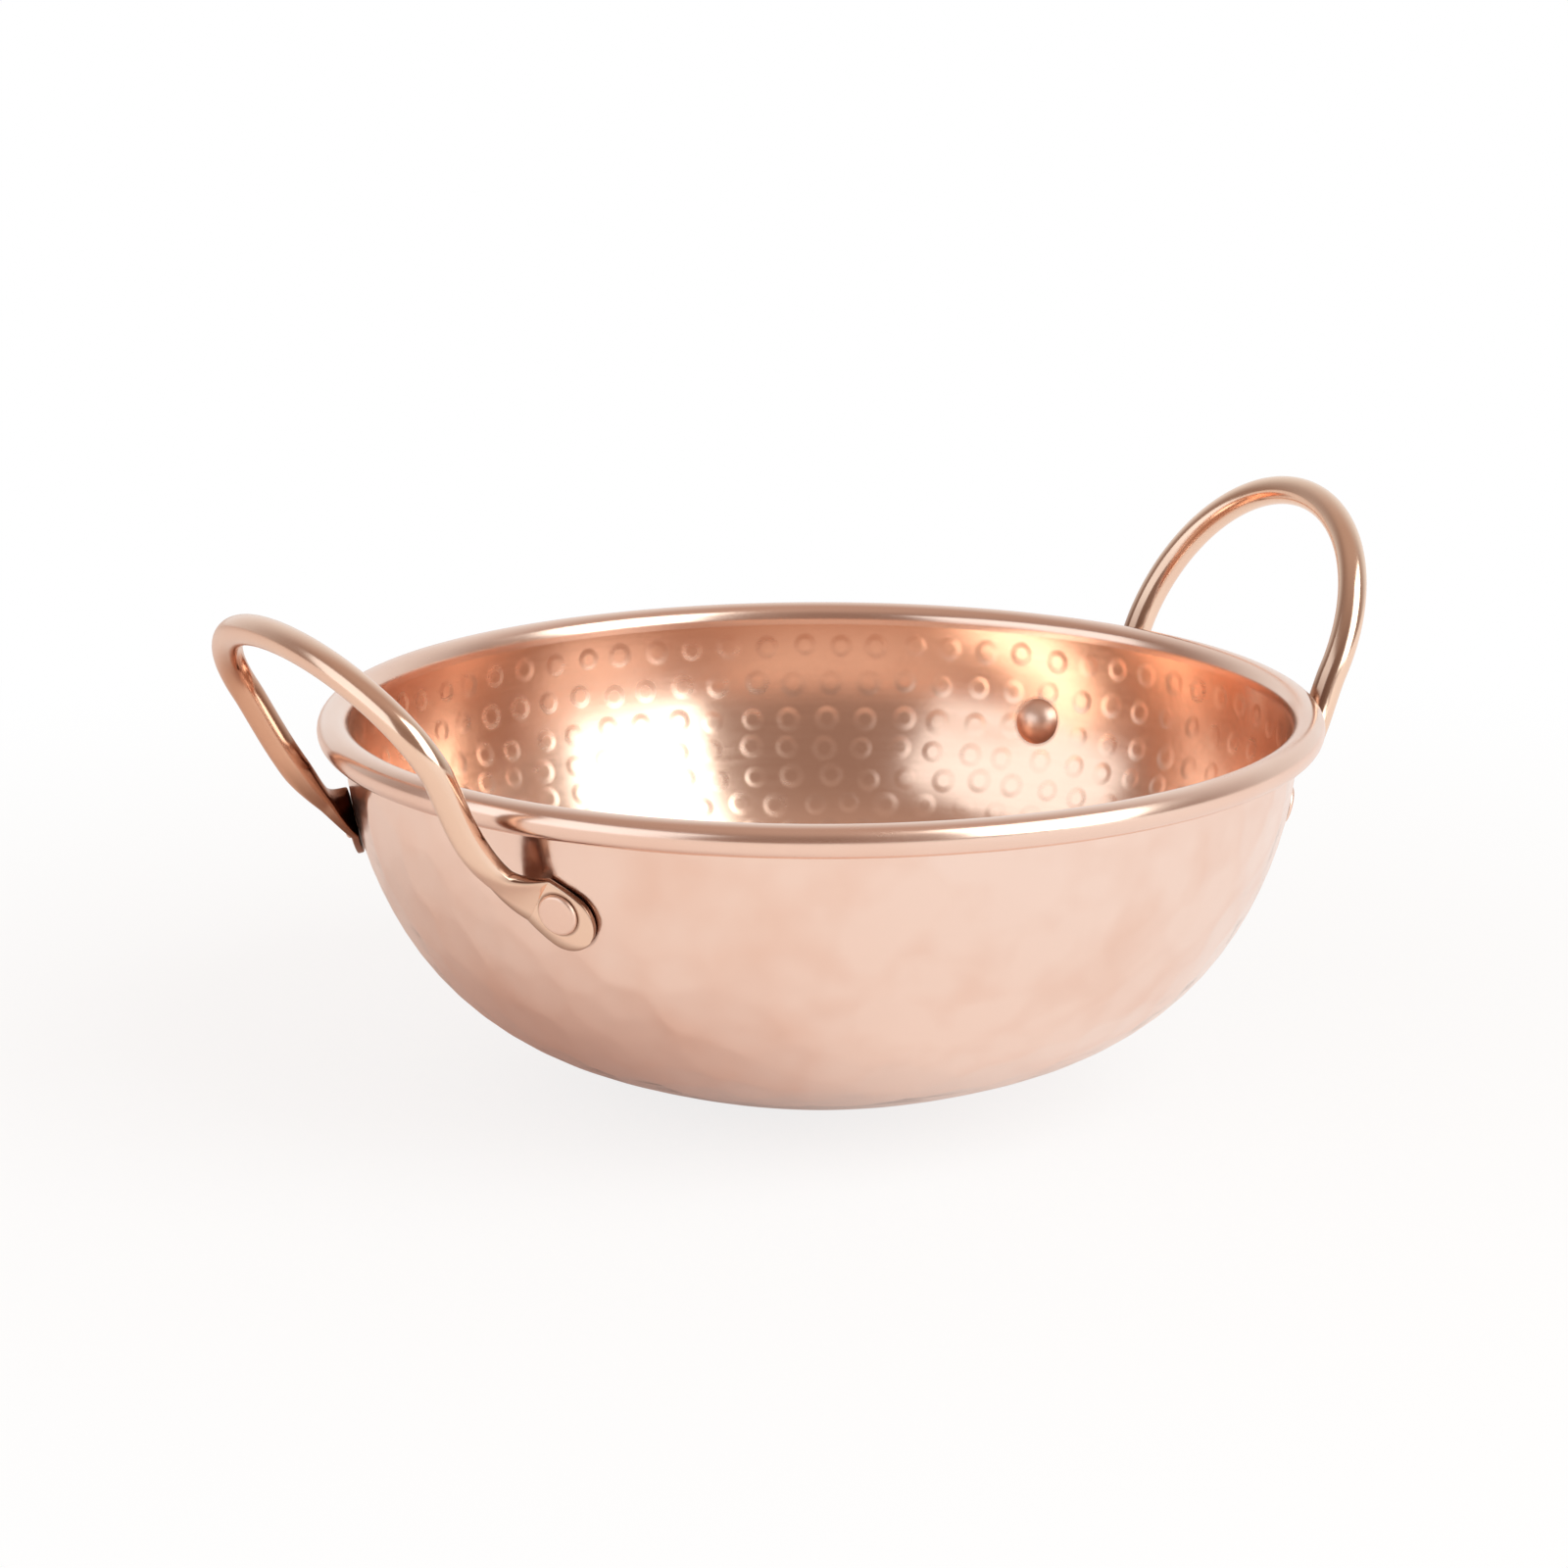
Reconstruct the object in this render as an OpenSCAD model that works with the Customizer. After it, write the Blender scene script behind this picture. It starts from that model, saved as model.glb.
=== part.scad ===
// Hammered copper pot: a round bowl of sheet with a wired rim, and two forged loop handles,
// each held by two rivets. Millimetres, Z up. The origin is the centre of the underside,
// and the handles stand over the rim at +X and -X.

/* [Bowl] */
// Outer diameter over the rolled rim
rim_d = 200; // [162:1:238]
// Height from the table to the top of the rim
pot_h = 77; // [63:1:91]
// Thickness of the copper sheet
sheet_t = 1.2; // [0.9:0.05:1.5]
// Diameter of the flat that the pot stands on
base_d = 45; // [37:1:53]
// Outer radius of the small bend where the floor lifts off the table
base_bend_r = 4; // [3.2:0.1:4.8]
// Slope of the floor just past that bend, in degrees
floor_slope = 13.5; // [11:0.5:16]
// Slope at which the floor turns into the knuckle, in degrees
knuckle_start = 22.5; // [18.5:0.5:26.5]
// Slope at which the knuckle turns into the wall, in degrees
knuckle_end = 60; // [49:0.5:71]
// Outer radius of the knuckle between floor and wall
knuckle_r = 58; // [47:1:69]

/* [Rim] */
// Diameter of the wire that the rim is rolled over
wire_d = 3.9; // [3.1:0.1:4.7]
// Play between the wire and the sheet rolled over it
wire_gap = 0.05; // [0.04:0.01:0.06]
// Slit between the rolled edge and the wall under the rim
roll_slit = 0.2; // [0.16:0.01:0.24]

/* [Rivets] */
// Distance between the two rivets of a handle, straight across
rivet_spacing = 83.5; // [68:0.5:99]
// Diameter of a rivet's shank
shank_d = 4.8; // [3.9:0.1:5.7]
// Play round the shank in its holes
hole_gap = 0.1; // [0.08:0.01:0.12]
// Diameter of the flat head outside
flat_head_d = 8.2; // [6.8:0.1:9.7]
// Thickness of the flat head
flat_head_t = 1; // [0.8:0.05:1.2]
// Diameter of the domed head inside
dome_d = 9.7; // [7.9:0.1:11.5]
// Height of the domed head
dome_h = 3; // [2.4:0.1:3.5]

/* [Handles] */
// Diameter of the handle's rod
rod_d = 5.9; // [4.8:0.1:7]
// Width of the flat tab at each end, where its round end starts
tab_w = 12.2; // [10:0.1:14.4]
// Thickness of the flat tab
tab_t = 1.7; // [1.4:0.05:2]
// Length over which the tab narrows from that width to the rod
tab_fan = 14.6; // [12:0.1:17.2]
// How far the tab reaches past its rivet
tab_reach = 7.7; // [6.3:0.1:9.1]
// How far the tab's middle line runs below its rivet
tab_offset = 0.9; // [0.7:0.05:1.1]
// How far above its rivet the tab leaves the wall
tab_lift = 4.9; // [4:0.1:5.8]
// Climb of the tab along the wall, in degrees from level
tab_climb = 33; // [27:0.5:39]
// How sharply the tab bends away from the wall, in degrees
tab_kick = 33.5; // [27.5:0.5:39.5]
// Play between a seated piece and what it sits on
seat_gap = 0.05; // [0.04:0.01:0.06]
// Pull of the straight leg on the bend above the tab
leg_pull = 7.4; // [6:0.1:8.8]
// Pull of the strap on the same bend
strap_pull = 14.5; // [12:0.5:17]

/* [Right handle] */
// Depth of its rivets below the top of the rim
right_rivet_drop = 22.6; // [18.5:0.1:26.7]
// How far the top of the loop stands out past the rim
right_reach = 18.7; // [15:0.1:22.2]
// How far the top of the loop stands above the rim
right_rise = 30.6; // [24.8:0.1:36.4]
// Lean of the loop from upright, in degrees
right_lean = 27.5; // [22.5:0.5:32.5]
// Width of the loop between the rod's centres
right_loop_w = 66; // [54:0.5:79]
// Depth of the round part of the loop
right_loop_h = 34; // [27.5:0.5:40.5]

/* [Left handle] */
// Depth of its rivets below the top of the rim
left_rivet_drop = 20.8; // [17:0.1:24.6]
// How far the top of the loop stands out past the rim
left_reach = 19.6; // [16.4:0.1:24]
// How far the top of the loop stands above the rim
left_rise = 27.4; // [22.4:0.1:33]
// Lean of the loop from upright, in degrees
left_lean = 32.5; // [26.5:0.5:38.5]
// Width of the loop between the rod's centres
left_loop_w = 77; // [62.5:0.5:91.5]
// Depth of the round part of the loop
left_loop_h = 22.2; // [18.3:0.1:26.9]

/* [Hidden] */

// Facets of a full turn, and steps along the curves
turn_facets = 128;
hole_facets = 48;
degrees_per_step = 4;
head_round_steps = 4;
ring_sides = 16;
tab_steps = 7;
end_steps = 5;
leg_steps = 16;
loop_steps = 14;
// Overrun of every cut
overrun = 1;

// Rolled rim
bead_in_r = wire_d / 2 + wire_gap;
bead_r = bead_in_r + sheet_t;
bead_c = [rim_d / 2 - bead_r, pot_h - bead_r];
roll_end = -acos((roll_slit - bead_in_r) / bead_r);

// The bowl's outer profile is four arcs, each tangent to the next. The radii of the floor and
// the wall follow from the width and height that the other two arcs leave.
base_r = base_d / 2;
wall_top = [bead_c[0] - bead_in_r, bead_c[1]];
left_over = wall_top
    - [base_r, base_bend_r]
    - base_bend_r * toward(floor_slope)
    - knuckle_r * (toward(knuckle_end) - toward(knuckle_start));
floor_part = toward(knuckle_start) - toward(floor_slope);
wall_part = toward(90) - toward(knuckle_end);
det = floor_part[0] * wall_part[1] - wall_part[0] * floor_part[1];
floor_r = (left_over[0] * wall_part[1] - wall_part[0] * left_over[1]) / det;
wall_r = (floor_part[0] * left_over[1] - left_over[0] * floor_part[1]) / det;

base_c = [base_r, base_bend_r];
floor_c = base_c + (base_bend_r - floor_r) * toward(floor_slope);
knuckle_c = floor_c + (floor_r - knuckle_r) * toward(knuckle_start);
wall_c = knuckle_c + (knuckle_r - wall_r) * toward(knuckle_end);

// Where each handle's rivets go through the wall
right_seat = seat(right_rivet_drop);
left_seat = seat(left_rivet_drop);

// The tab's end is a half circle from here to its tip, less a small blunt of so many degrees
tab_from = tab_w / 2 - tab_reach;
tip_turn = 16;
// Share of the tab's thickness left at its tip, and where along the leg the bar is round
tip_t_share = 0.8;
round_leg_share = 0.45;
// Shape of the tab's section, between a rectangle at 0 and an ellipse at 1
tab_oval_share = 0.35;

// A dome sits on a hollow wall, so its rim touches first
dome_seat = wall_r - sheet_t - sqrt(pow(wall_r - sheet_t, 2) - pow(dome_d / 2, 2)) + seat_gap;

// Shares of the flat head's thickness: the rounding of its edge, and the rise of its crown
head_round_share = 0.75;
head_crown_share = 0.12;
head_round_r = flat_head_t * head_round_share;

copper = [0.87, 0.67, 0.56];
handle_copper = [0.74, 0.51, 0.41];
wire_steel = [0.5, 0.49, 0.47];

// Direction from an arc's centre to its point of the given slope
function toward(slope) = [sin(slope), -cos(slope)];

// Points of an arc between two slopes
function bend(c, r, from, to) =
    let (n = ceil(abs(to - from) / degrees_per_step))
    [for (i = [0:n]) c + r * toward(from + (to - from) * i / n)];

// A rivet's place on the wall's outer face for a depth below the rim: radius, height, the wall's
// lean there and the angle from the handle's middle
function seat(drop) =
    let (
        z = pot_h - drop,
        lean = asin((wall_c[1] - z) / wall_r),
        r = wall_c[0] + wall_r * cos(lean)
    )
    [r, z, lean, asin(rivet_spacing / 2 / r)];

function joined(a, b) = concat(a, [for (i = [1:len(b) - 1]) b[i]]);
function reversed(a) = [for (i = [len(a) - 1:-1:0]) a[i]];

// The face that lies t inside the sheet's outer face, from the flat to the rim
function sheet_face(t) =
    joined(joined(joined(
        bend(base_c, base_bend_r - t, 0, floor_slope),
        bend(floor_c, floor_r - t, floor_slope, knuckle_start)),
        bend(knuckle_c, knuckle_r - t, knuckle_start, knuckle_end)),
        bend(wall_c, wall_r - t, knuckle_end, 90));

// Points round the rim's wire, from the wall over the top to the rolled edge
function roll(r) =
    let (n = ceil((180 - roll_end) / (2 * degrees_per_step)))
    [for (i = [0:n]) let (a = 180 + (roll_end - 180) * i / n)
        bead_c + r * [cos(a), sin(a)]];

module bowl() {
    color(copper)
    difference() {
        rotate_extrude($fn = turn_facets)
            polygon(concat(
                [[0, 0]],
                joined(sheet_face(0), roll(bead_in_r)),
                reversed(joined(sheet_face(sheet_t), roll(bead_r))),
                [[0, sheet_t]]));
        each_rivet_place()
            translate([0, 0, -sheet_t - overrun])
                cylinder(h = sheet_t + 2 * overrun, d = shank_d + 2 * hole_gap, $fn = hole_facets);
    }
}

module rim_wire() {
    color(wire_steel)
    rotate_extrude($fn = turn_facets)
        translate(bead_c)
            circle(d = wire_d, $fn = hole_facets);
}

// Puts its children on the wall's outer face at a rivet, with Z along the rivet and outward.
// The turn counts in steps of the seat's own angle, from the handle's middle.
module rivet_place(seat, turn) {
    rotate([0, 0, turn * seat[3]])
        translate([seat[0], 0, seat[1]])
            rotate([0, 90 + seat[2], 0])
                children();
}

module each_rivet_place() {
    for (turn = [1, -1]) {
        rivet_place(right_seat, turn) children();
        rotate([0, 0, 180]) rivet_place(left_seat, turn) children();
    }
}

// A rivet: dome inside the bowl, shank through wall and tab, low flat head outside
module rivet(seat, turn) {
    dome_z = -sheet_t - dome_seat;
    head_z = tab_t + 2 * seat_gap;
    head_r = flat_head_d / 2;
    dome_r = (pow(dome_d / 2, 2) + pow(dome_h, 2)) / (2 * dome_h);
    dome_half = asin(dome_d / 2 / dome_r);
    dome_n = ceil(dome_half / (2 * degrees_per_step));
    color(copper)
    rivet_place(seat, turn)
        rotate_extrude($fn = hole_facets)
            polygon(concat(
                [for (i = [0:dome_n]) let (a = dome_half * i / dome_n)
                    [dome_r * sin(a), dome_z - dome_h + dome_r * (1 - cos(a))]],
                [[shank_d / 2, dome_z], [shank_d / 2, head_z], [head_r, head_z]],
                [for (i = [0:head_round_steps]) let (a = 90 * i / head_round_steps)
                    [head_r - head_round_r * (1 - cos(a)),
                     head_z + flat_head_t * (1 - head_crown_share)
                        - head_round_r * (1 - sin(a))]],
                [[0, head_z + flat_head_t]]));
}

// The frame of a tab at its seat: the centre of the arc on which it follows the wall, the wall's
// outward direction, the direction along the tab, and the arc's radius
function tab_frame(seat) =
    let (
        r = seat[0], lean = seat[2], az = seat[3],
        out = [cos(lean) * cos(az), cos(lean) * sin(az), -sin(lean)],
        level = [sin(az), -cos(az), 0],
        up = [sin(lean) * cos(az), sin(lean) * sin(az), cos(lean)],
        along = cos(tab_climb) * level + sin(tab_climb) * up,
        across = cos(tab_climb) * up - sin(tab_climb) * level,
        curve_r = 1 / (pow(cos(tab_climb), 2) * cos(lean) / r + pow(sin(tab_climb), 2) / wall_r)
    )
    [[r * cos(az), r * sin(az), seat[1]] - tab_offset * across - curve_r * out,
     out, along, curve_r];

// Outward and forward directions of the tab, s along it from the rivet, and its middle line
function tab_out(f, s) = let (a = s / f[3] * 180 / PI) cos(a) * f[1] + sin(a) * f[2];
function tab_ahead(f, s) = let (a = s / f[3] * 180 / PI) cos(a) * f[2] - sin(a) * f[1];
function tab_point(f, s) = f[0] + (f[3] + seat_gap + tab_t / 2) * tab_out(f, s);

// Width of the bar at s along it, and its thickness where it is so flat
function bar_w(s) =
    let (u = min(1, max(0, (s - tab_from) / tab_fan)))
    tab_w + (rod_d - tab_w) * u * u;
function bar_t(flat) = rod_d + (tab_t - rod_d) * flat;

function bezier(a, b, c, d, t) =
    pow(1 - t, 3) * a + 3 * pow(1 - t, 2) * t * b + 3 * (1 - t) * t * t * c + pow(t, 3) * d;

function smooth(t) = let (u = min(1, max(0, t))) u * u * (3 - 2 * u);
function unit(v) = v / norm(v);
function mirrored(p) = [p[0], -p[1], p[2]];
function power(x, e) = sign(x) * pow(abs(x), e);

// Half of the handle, from the tip of its tab to the top of the loop. Each station holds a point,
// the outward direction there, the bar's width and thickness, and how flat it is.
function half_handle(seat, top, lean, half_w, loop_h) =
    let (
        f = tab_frame(seat),
        down = [-sin(lean), 0, -cos(lean)],
        out = [cos(lean), 0, -sin(lean)],
        shoulder = top + loop_h * down + [0, half_w, 0],
        lift = tab_point(f, tab_lift),
        strap = cos(tab_kick) * tab_ahead(f, tab_lift) + sin(tab_kick) * tab_out(f, tab_lift),
        tip = [for (i = [0:end_steps - 1])
            let (a = tip_turn + (90 - tip_turn) * i / end_steps)
            [tab_point(f, tab_from - tab_w / 2 * cos(a)), f[1], tab_w * sin(a),
             tab_t * (tip_t_share + (1 - tip_t_share) * sin(a)), 1]],
        tab = [for (i = [0:tab_steps - 1])
            let (s = tab_from + (tab_lift - tab_from) * i / tab_steps)
            [tab_point(f, s), f[1], bar_w(s), tab_t, 1]],
        leg = [for (i = [0:leg_steps - 1])
            let (
                t = i / leg_steps,
                p = bezier(lift, lift + strap_pull * strap,
                    shoulder + leg_pull * down, shoulder, t),
                flat = 1 - smooth(t / round_leg_share)
            )
            [p, unit((1 - t) * f[1] + t * out), bar_w(tab_lift + norm(p - lift)),
             bar_t(flat), flat]],
        loop = [for (i = [0:loop_steps]) let (a = 90 * (1 - i / loop_steps))
            [top + loop_h * (1 - cos(a)) * down + [0, half_w * sin(a), 0], out,
             rod_d, rod_d, 0]]
    )
    concat(tip, tab, leg, loop);

// The ring of points round one station
function ring(at, along, out, w, t, flat) =
    let (
        side = unit(cross(along, out)),
        face = cross(side, along),
        e = 1 - (1 - tab_oval_share) * flat
    )
    [for (k = [0:ring_sides - 1]) let (a = 360 * (k + 0.5) / ring_sides)
        at + w / 2 * power(cos(a), e) * side + t / 2 * power(sin(a), e) * face];

// A forged loop of round rod with a flat tab at each end, drilled for its rivets
module handle(seat, reach, rise, lean, loop_w, loop_h) {
    top = [rim_d / 2 + reach, 0, pot_h + rise];
    half = half_handle(seat, top, lean, loop_w / 2, loop_h);
    n = len(half);
    stations = concat(half, [for (i = [n - 2:-1:0])
        [mirrored(half[i][0]), mirrored(half[i][1]), half[i][2], half[i][3], half[i][4]]]);
    m = len(stations);
    points = [for (i = [0:m - 1])
        let (
            before = stations[max(0, i - 1)][0],
            after = stations[min(m - 1, i + 1)][0],
            s = stations[i]
        )
        each ring(s[0], unit(after - before), s[1], s[2], s[3], s[4])];
    sides = [for (i = [0:m - 2]) for (k = [0:ring_sides - 1])
        let (
            a = i * ring_sides + k,
            b = i * ring_sides + (k + 1) % ring_sides
        )
        each [[a, b, a + ring_sides], [b, b + ring_sides, a + ring_sides]]];
    first = [for (k = [ring_sides - 1:-1:0]) k];
    last = [for (k = [0:ring_sides - 1]) (m - 1) * ring_sides + k];
    color(handle_copper)
    difference() {
        polyhedron(points, concat(sides, [first, last]));
        for (turn = [1, -1])
            rivet_place(seat, turn)
                translate([0, 0, -overrun])
                    cylinder(h = tab_t + 2 * overrun, d = shank_d + 2 * hole_gap,
                        $fn = hole_facets);
    }
}

module handle_right() {
    handle(right_seat, right_reach, right_rise, right_lean, right_loop_w, right_loop_h);
}

module handle_left() {
    rotate([0, 0, 180])
        handle(left_seat, left_reach, left_rise, left_lean, left_loop_w, left_loop_h);
}

module rivet_right_back() { rivet(right_seat, 1); }
module rivet_right_front() { rivet(right_seat, -1); }
module rivet_left_front() { rotate([0, 0, 180]) rivet(left_seat, 1); }
module rivet_left_back() { rotate([0, 0, 180]) rivet(left_seat, -1); }

bowl();
rim_wire();
handle_right();
handle_left();
rivet_right_back();
rivet_right_front();
rivet_left_front();
rivet_left_back();
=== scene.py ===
# Hammered copper pot with a wired rim and two forged loop handles, on a plain pale floor
import math

import bpy
import numpy as np
from bpy.props import (FloatProperty, FloatVectorProperty, IntProperty,
                       PointerProperty)
from bpy.types import Operator, Panel, PropertyGroup
from mathutils import Matrix, Quaternion, Vector, kdtree


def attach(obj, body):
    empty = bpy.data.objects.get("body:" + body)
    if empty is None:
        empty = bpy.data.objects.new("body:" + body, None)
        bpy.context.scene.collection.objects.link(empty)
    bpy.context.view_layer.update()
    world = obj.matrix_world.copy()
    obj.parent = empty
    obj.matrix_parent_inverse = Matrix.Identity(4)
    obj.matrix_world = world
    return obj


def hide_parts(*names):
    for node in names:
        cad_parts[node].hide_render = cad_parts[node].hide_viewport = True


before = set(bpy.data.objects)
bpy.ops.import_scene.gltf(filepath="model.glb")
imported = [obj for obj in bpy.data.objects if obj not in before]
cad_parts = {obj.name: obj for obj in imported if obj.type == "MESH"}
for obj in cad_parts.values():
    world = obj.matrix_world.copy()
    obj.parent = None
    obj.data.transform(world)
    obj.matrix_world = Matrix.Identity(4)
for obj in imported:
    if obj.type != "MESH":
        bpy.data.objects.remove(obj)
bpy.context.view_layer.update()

bl_info = {
    "name": "Hammered Copper Pot",
    "version": (1, 0, 0),
    "blender": (4, 5, 0),
    "location": "3D View > Sidebar > Copper Pot",
    "description": "Builds a hammered copper pot with riveted loop handles",
    "category": "Object",
}

MM = 0.001
MERGE, FINE_MERGE = 0.01 * MM, 0.001 * MM
OUTSIDE, BEAD, INSIDE = range(3)
HAMMERING = 7


def length(name, text, value):
    """A length property whose default is given in millimetres."""
    return FloatProperty(name=name, description=text, default=value * MM,
                         unit="LENGTH", subtype="DISTANCE", precision=5)


def angle(name, text, value):
    """An angle property whose default is given in degrees."""
    return FloatProperty(name=name, description=text, default=math.radians(value),
                         unit="ROTATION", subtype="ANGLE")


def share(name, text, value):
    """A property that is a plain share or factor."""
    return FloatProperty(name=name, description=text, default=value, precision=3)


def count(name, text, value):
    """A whole number of rows, steps or sides."""
    return IntProperty(name=name, description=text, default=value, min=1)


def colour(name, text, value):
    """A colour property."""
    return FloatVectorProperty(name=name, description=text, default=value, size=3,
                               subtype="COLOR", min=0, max=1)


class BowlSizes(PropertyGroup):
    """Sizes of the bowl and its rim"""
    rim_d: length("Rim diameter", "Outer diameter over the rolled rim", 200)
    pot_h: length("Height", "Height from the table to the top of the rim", 77)
    sheet_t: length("Sheet", "Thickness of the copper sheet", 1.2)
    base_d: length("Flat", "Diameter of the flat that the pot stands on", 45)
    base_bend_r: length("Base bend", "Outer radius of the bend beside the flat", 4)
    floor_slope: angle("Floor slope", "Slope of the floor beside the flat", 13.5)
    knuckle_start: angle("Knuckle start", "Slope where floor meets knuckle", 22.5)
    knuckle_end: angle("Knuckle end", "Slope where knuckle meets wall", 60)
    knuckle_r: length("Knuckle", "Outer radius of the knuckle", 58)
    wire_d: length("Wire", "Diameter of the wire in the rim", 3.9)
    wire_gap: length("Wire gap", "Play between the wire and the sheet", 0.05)
    roll_slit: length("Roll slit", "Slit between the rolled edge and the wall", 0.2)
    segments: count("Segments", "Segments round the bowl", 600)
    outer_step: length("Outer step", "Distance between the lines round the outside", 5)
    floor_step: length("Floor step", "Distance between the lines round the floor inside", 2.2)
    wall_step: length("Wall step", "Distance between the lines round the wall inside", 1)
    tube_steps: count("Tube steps", "Steps round the wire", 6)
    bead_steps: count("Bead steps", "Steps round the bead", 22)
    crease: angle("Crease", "Edges that bend more than this stay sharp", 50)


class HammerSizes(PropertyGroup):
    """Sizes of the hammer's marks"""
    first_row: length("First row", "Depth of the first row below the rim", 8)
    upper_step: length("Upper row step", "Distance between the upper rows of dents", 7.9)
    upper_rows: count("Upper rows", "How many of the rows are upper rows", 3)
    row_step: length("Row step", "Distance between the other rows of dents", 6.2)
    dent_step: length("Dent step", "Distance between two dents of a row", 8.2)
    dent_r: length("Dent radius", "Radius of one dent", 2.85)
    dent_depth: length("Dent depth", "Depth that the blow pressed the sheet", 0.02)
    dent_ring: length("Dent ring", "Height of the ring round a dent's floor", 0.052)
    dent_wander: length("Wander", "How far a dent strays from its place", 0.7)
    smallest: share("Smallest dent", "Share of the radius that the smallest dent has", 0.88)
    largest: share("Largest dent", "Share of the radius that the largest dent has", 1.06)
    lightest: share("Lightest blow", "Share of the depth that the lightest blow presses", 0.7)
    pressed_flat: share("Pressed floor", "Share of a dent's radius pressed evenly", 0.3)
    dent_flat: share("Dent floor", "Share of a dent's radius that is flat", 0.42)
    steeper: share("Steeper", "Rise by which the blows steepened the inner wall", 0.045)
    facet_step: length("Facet step", "Distance between two facets outside", 10)
    facet_depth: length("Facet depth", "Depth of one facet outside", 0.3)
    facet_soft: share("Facet softness", "How softly one facet runs into the next", 0.35)
    facet_wander: share("Facet wander", "How irregularly the facets lie", 0.8)


class HandleSizes(PropertyGroup):
    """Sizes of the rivets and of what both handles share"""
    rivet_spacing: length("Rivet spacing", "Distance between a handle's rivets", 83.5)
    shank_d: length("Shank", "Diameter of a rivet's shank", 4.8)
    flat_head_d: length("Flat head", "Diameter of the flat head outside", 8.2)
    flat_head_t: length("Flat head height", "Thickness of the flat head", 1)
    head_round_share: share("Head edge", "Share of the head's height that is rounded", 0.75)
    head_crown_share: share("Head crown", "Share of the head's height that is crown", 0.12)
    dome_d: length("Dome", "Diameter of the domed head inside", 9.7)
    dome_h: length("Dome height", "Height of the domed head", 3)
    rod_d: length("Rod", "Diameter of the handle's rod", 5.9)
    tab_w: length("Tab width", "Width of the tab where its round end starts", 12.2)
    tab_t: length("Tab thickness", "Thickness of the flat tab", 1.7)
    tab_fan: length("Tab fan", "Length over which the tab narrows to the rod", 14.6)
    tab_reach: length("Tab reach", "How far the tab reaches past its rivet", 7.7)
    tab_offset: length("Tab offset", "How far its middle line runs below the rivet", 0.9)
    tab_lift: length("Tab lift", "Where the tab leaves the wall", 4.9)
    tab_climb: angle("Tab climb", "Climb of the tab along the wall", 33)
    tab_kick: angle("Tab kick", "How sharply the tab bends off the wall", 33.5)
    tip_turn: angle("Tip", "How much of the tab's round end is blunt", 8)
    seat_gap: length("Seat gap", "Play between seated pieces", 0.05)
    leg_pull: length("Leg pull", "Pull of the leg on the bend above the tab", 7.4)
    strap_pull: length("Strap pull", "Pull of the strap on the same bend", 14.5)
    tip_t_share: share("Tip thickness", "Share of the thickness at the tip", 0.8)
    round_leg_share: share("Round from", "Where along the leg the bar is round", 0.45)
    tab_oval_share: share("Tab section", "Tab's section, 0 square to 1 oval", 0.35)
    ring_sides: count("Bar sides", "Sides of the handle's bar", 40)
    end_steps: count("End steps", "Steps round a tab's end", 14)
    tab_steps: count("Tab steps", "Steps along a tab", 18)
    leg_steps: count("Leg steps", "Steps along a leg", 56)
    loop_steps: count("Loop steps", "Steps along half of a loop", 48)
    dome_steps: count("Dome steps", "Steps from a domed head's middle to its edge", 14)
    edge_steps: count("Edge steps", "Steps round a flat head's edge", 8)
    crown_steps: count("Crown steps", "Steps from a flat head's edge to its middle", 5)
    rivet_sides: count("Rivet sides", "Sides of a rivet", 72)
    crease: angle("Crease", "Edges that bend more than this stay sharp", 45)


class LoopSizes(PropertyGroup):
    """Sizes of one handle's loop"""
    rivet_drop: length("Rivet drop", "Depth of its rivets below the rim", 22.6)
    reach: length("Reach", "How far the loop's top stands out past the rim", 18.7)
    rise: length("Rise", "How far the loop's top stands above the rim", 30.6)
    lean: angle("Lean", "Lean of the loop from upright", 27.5)
    width: length("Width", "Width between the rod's centres", 66)
    depth: length("Depth", "Depth of the round part of the loop", 34)


class Finish(PropertyGroup):
    """Colours of the metals and of the stage"""
    copper: colour("Copper", "Clean copper", (0.90, 0.645, 0.53))
    # Clouds and facets take on this tone, and along the dents' rings it is painted shade
    warm_copper: colour("Warm copper", "Copper toned by the fire", (0.84, 0.54, 0.42))
    inner_copper: colour("Inner copper", "Copper of the inside", (0.96, 0.66, 0.515))
    outer_copper: colour("Outer copper", "Copper of the outside", (0.92, 0.69, 0.585))
    forged: colour("Forged copper", "Copper of the handles", (0.90, 0.645, 0.495))
    # Painted shade: this colour darkens the crevice under the bead, the lines round the tabs and
    # heads, and the handles' shaded sides
    brown: colour("Brown", "Oxide left in the corners", (0.20, 0.08, 0.045))
    # A darker, warmer tone laid on the left handle's back leg
    fired: colour("Fired copper", "Copper darkened at the forge", (0.66, 0.33, 0.20))
    steel: colour("Wire steel", "Drawn wire", (0.42, 0.41, 0.4))
    floor: colour("Floor", "The stage's floor", (0.93, 0.93, 0.93))
    # Painted shadow: the floor beside the base is this dark in the copper's reflections
    floor_close: colour("Floor beside the base", "Floor as the copper mirrors it there",
                        (0.5, 0.27, 0.19))
    key_light: colour("Key light", "Tint of the large lamp", (0.85, 0.98, 1.0))
    fill_light: colour("Fill light", "Tint of the lamp at the left", (0.77, 0.92, 1.0))
    room_light: colour("Room light", "Light that the room throws on the floor",
                       (0.68, 0.54, 0.47))
    room: colour("Room", "The dim room in front of the pot", (0.31, 0.215, 0.175))
    ceiling: colour("Ceiling", "The dim room over the pot", (0.53, 0.40, 0.335))
    backdrop: colour("Backdrop", "The pale wall behind the pot", (0.93, 0.97, 0.98))


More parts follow.
